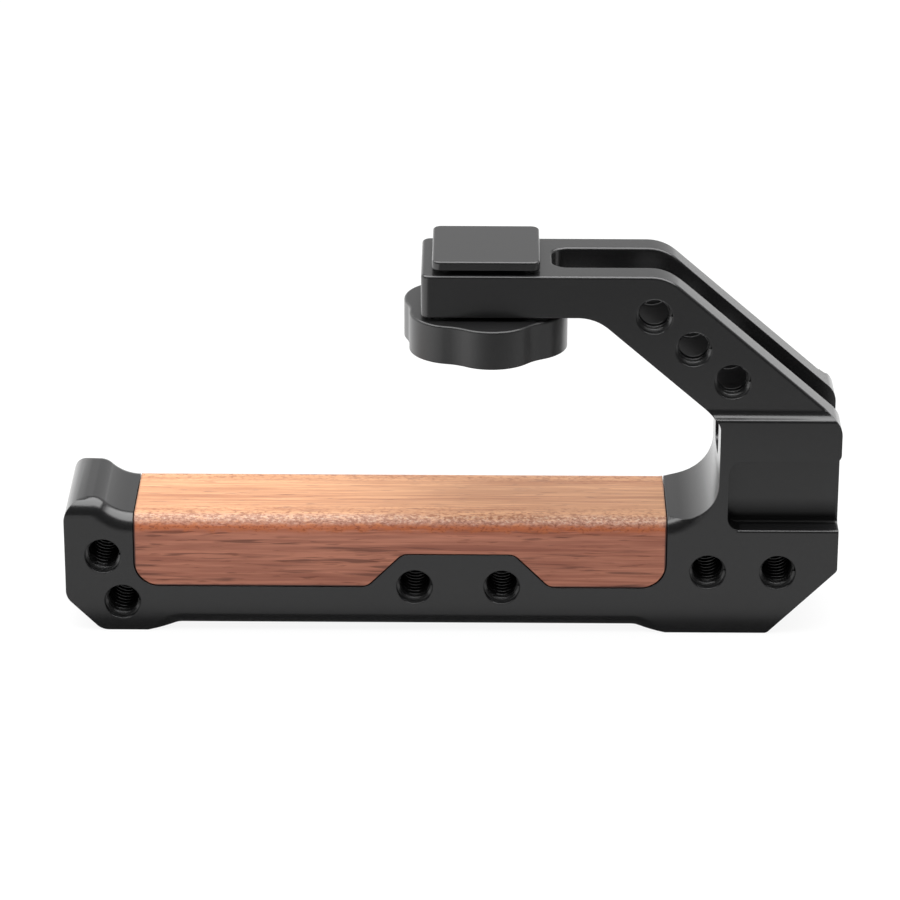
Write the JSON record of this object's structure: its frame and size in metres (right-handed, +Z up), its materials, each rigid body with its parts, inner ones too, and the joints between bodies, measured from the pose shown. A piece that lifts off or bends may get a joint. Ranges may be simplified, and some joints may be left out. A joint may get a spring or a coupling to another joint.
{
  "type": "camera top handle",
  "caption": "Camera top handle: grip bar with inlaid wooden grip, riser, slotted sloping strut and arm, and a screw clamp whose lobed knob draws a hot shoe foot down.",
  "frame": {"origin": "centre of the footprint on the table, under the middle of the bounding box", "axes": "+X along the grip bar from its free end to the riser, +Y across the depth, away from the camera, +Z up as pictured, from the grip bar to the shoe foot"},
  "size_m": [0.1362, 0.0294, 0.0691],
  "materials": {
    "anodised_metal": "black anodised aluminium, bead blasted, satin",
    "anodised_foot": "black anodised aluminium, satin",
    "anodised_knob": "black anodised aluminium, satin",
    "wood": "oiled reddish hardwood, fine grain along the length",
    "brass": "turned brass",
    "black_steel": "black oxide steel",
    "steel": "turned steel",
    "spring_steel": "drawn spring wire",
    "washer_plastic": "black acetal"
  },
  "bodies": {
    "handle": {"handle_frame": "anodised_metal", "wood_grip": "wood", "grip_inserts": "brass", "grip_screws": "black_steel", "thrust_washer": "washer_plastic", "foot_spring": "spring_steel"},
    "knob": {"knob_body": "anodised_knob", "knob_bush": "steel"},
    "foot": {"shoe_foot": "anodised_foot", "foot_stud": "steel", "retaining_washer": "steel", "retaining_screw": "black_steel"}
  },
  "joints": [
    {"name": "knob_turn", "type": "hinge", "parent": "handle", "child": "knob", "pos_m": [0.0059, 0, 0.055], "axis": [0, 0, 1], "range_deg": [-490, 380]},
    {"name": "foot_slide", "type": "slide", "parent": "handle", "child": "foot", "axis": [0, 0, 1], "range_m": [-0.00083, 0.00107], "deforming": ["foot_spring"]}
  ],
  "couplings": [
    {"joint": "knob_turn", "follows": "foot_slide", "rad_per_m": -7854}
  ]
}
